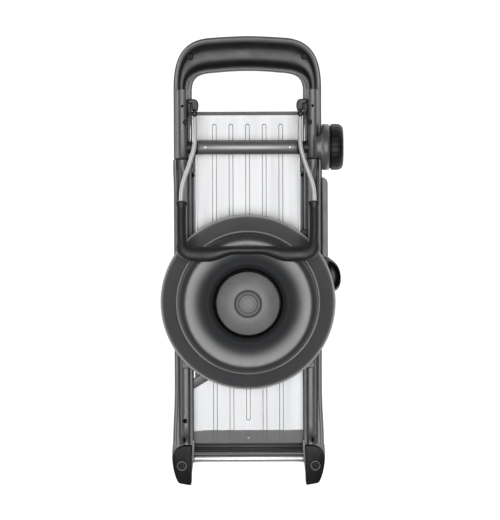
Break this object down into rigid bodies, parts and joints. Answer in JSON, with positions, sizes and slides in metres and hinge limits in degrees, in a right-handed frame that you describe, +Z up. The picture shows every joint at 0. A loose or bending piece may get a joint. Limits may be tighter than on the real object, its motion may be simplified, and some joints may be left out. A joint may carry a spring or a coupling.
{
  "type": "mandoline slicer",
  "caption": "Hand slicer with an embossed steel runway, side thickness dial, folding wire leg, pull-out diagonal blade and a round sprung food holder stowed on its underside.",
  "frame": {"origin": "centre of the bounding box's bottom face, with the slicer lying face-down on its food side", "axes": "+Z up out of the underside, +Y along the slicer towards the handle, +X towards the thickness dial"},
  "size_m": [0.1694, 0.4182, 0.0735],
  "materials": {
    "frame_plastic": "satin",
    "grip_rubber": "soft touch",
    "screw_black": "satin",
    "tab_plastic": "satin",
    "chrome_wire": "polished",
    "foot_rubber": "matte",
    "dark_plastic": "satin",
    "runway_steel": "brushed, embossed",
    "blade_steel": "ground",
    "dial_rubber": "ribbed",
    "tube_satin": "satin",
    "sleeve_rubber": "matte",
    "holder_plastic": "satin",
    "knob_plastic": "satin"
  },
  "bodies": {
    "root": {"handle_frame": "frame_plastic", "handle_grip_underside": "grip_rubber", "handle_grip_food_side": "grip_rubber", "grip_screw_left": "screw_black", "grip_screw_right": "screw_black", "rail_screw_left": "screw_black", "rail_screw_right": "screw_black", "side_rail_left": "frame_plastic", "side_rail_right": "frame_plastic", "rail_tab_left": "tab_plastic", "rail_tab_right": "tab_plastic", "guide_rod_left": "chrome_wire", "guide_rod_right": "chrome_wire", "foot_left": "foot_rubber", "foot_right": "foot_rubber", "foot_screw_left": "screw_black", "foot_screw_right": "screw_black", "foot_rod": "chrome_wire", "end_crossbar": "dark_plastic", "outfeed_runway": "runway_steel", "blade_bed": "frame_plastic", "dial_housing": "frame_plastic", "cross_tube": "tube_satin", "tube_collar_left": "dark_plastic", "tube_collar_right": "dark_plastic", "leg_bracket_left": "dark_plastic", "leg_bracket_right": "dark_plastic", "leg_pin_left": "chrome_wire", "leg_pin_right": "chrome_wire"},
    "leg": {"leg_wire": "chrome_wire", "leg_sleeve": "sleeve_rubber"},
    "thickness_dial": {"dial_knob": "dial_rubber", "dial_shaft": "chrome_wire", "lift_cam_left": "dark_plastic", "lift_cam_right": "dark_plastic"},
    "infeed_table": {"infeed_runway": "runway_steel", "infeed_carrier_left": "dark_plastic", "infeed_carrier_right": "dark_plastic"},
    "food_holder": {"holder_shell": "holder_plastic", "plunger_spring": "chrome_wire"},
    "plunger": {"plunger_knob": "knob_plastic", "plunger_platen": "dark_plastic", "plunger_cap": "knob_plastic", "prong_plate": "blade_steel"},
    "blade_cassette": {"cassette_body": "dark_plastic", "slicing_blade": "blade_steel", "cassette_grip": "grip_rubber"},
    "julienne_slider": {"julienne_selector": "frame_plastic"},
    "julienne_comb": {"julienne_bar": "dark_plastic", "julienne_teeth": "blade_steel"}
  },
  "joints": [
    {"name": "leg_fold", "type": "hinge", "parent": "root", "child": "leg", "pos_m": [0, 0.1369, 0.036], "axis": [-1, 0, 0], "range_deg": [0, 100]},
    {"name": "dial_turn", "type": "hinge", "parent": "root", "child": "thickness_dial", "pos_m": [0, 0.1062, 0.023], "axis": [1, 0, 0], "range_deg": [0, 288]},
    {"name": "infeed_lift", "type": "slide", "parent": "root", "child": "infeed_table", "axis": [0, 0, 1], "range_m": [0, 0.009]},
    {"name": "holder_slide", "type": "slide", "parent": "root", "child": "food_holder", "axis": [0, -1, 0], "range_m": [0, 0.26]},
    {"name": "plunger_lift", "type": "slide", "parent": "food_holder", "child": "plunger", "axis": [0, 0, 1], "range_m": [0, 0.012], "stiffness_N_per_m": 300, "springref_m": -0.01, "deforming": ["plunger_spring"]},
    {"name": "cassette_slide", "type": "slide", "parent": "root", "child": "blade_cassette", "axis": [0.859, 0.512, 0], "range_m": [0, 0.16]},
    {"name": "julienne_select", "type": "slide", "parent": "root", "child": "julienne_slider", "axis": [0, 1, 0], "range_m": [0, 0.005]},
    {"name": "comb_lift", "type": "slide", "parent": "root", "child": "julienne_comb", "axis": [0, 0, -1], "range_m": [0, 0.007]}
  ],
  "couplings": [
    {"joint": "dial_turn", "follows": "infeed_lift", "rad_per_m": 558.5},
    {"joint": "comb_lift", "follows": "julienne_select", "ratio": 1.4}
  ]
}
